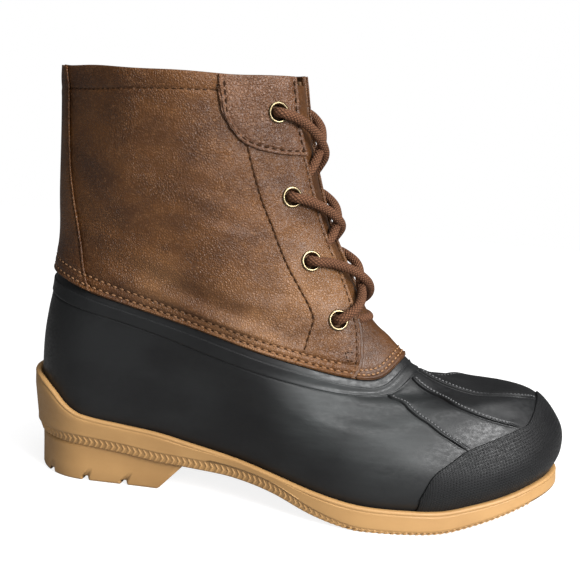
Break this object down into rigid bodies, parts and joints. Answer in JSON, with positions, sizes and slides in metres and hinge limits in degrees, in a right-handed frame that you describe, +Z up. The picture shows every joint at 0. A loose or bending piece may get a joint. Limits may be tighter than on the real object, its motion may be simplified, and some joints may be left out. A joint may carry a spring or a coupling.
{
  "type": "duck boot",
  "caption": "Right duck boot: brown leather shaft with laced throat on a black moulded rubber foot and a tan gum sole with a heel",
  "frame": {"origin": "middle of the footprint, on the ground", "axes": "+X from heel to toe, +Y to the inner side of the foot, +Z up"},
  "size_m": [0.2902, 0.1056, 0.2208],
  "materials": {
    "gum": "matte moulded gum rubber",
    "footbed": "dark woven footbed",
    "rubber": "satin moulded rubber with fine scuffs",
    "leather": "pebbled brown leather with a soft gloss",
    "tongue_leather": "smooth brown leather",
    "eyelet_brass": "antique brass",
    "lace": "round braided cord"
  },
  "bodies": {
    "root": {"outsole": "gum", "insole": "footbed", "rubber_shell": "rubber", "shaft": "leather", "tongue": "tongue_leather", "back_strip": "leather", "collar_patch_lateral": "leather", "collar_patch_medial": "leather", "eyelet_lateral_1": "eyelet_brass", "eyelet_lateral_2": "eyelet_brass", "eyelet_lateral_3": "eyelet_brass", "eyelet_lateral_4": "eyelet_brass", "eyelet_medial_1": "eyelet_brass", "eyelet_medial_2": "eyelet_brass", "eyelet_medial_3": "eyelet_brass", "eyelet_medial_4": "eyelet_brass", "lace_crossing_1": "lace", "lace_crossing_2": "lace", "lace_crossing_3": "lace"}
  },
  "joints": []
}
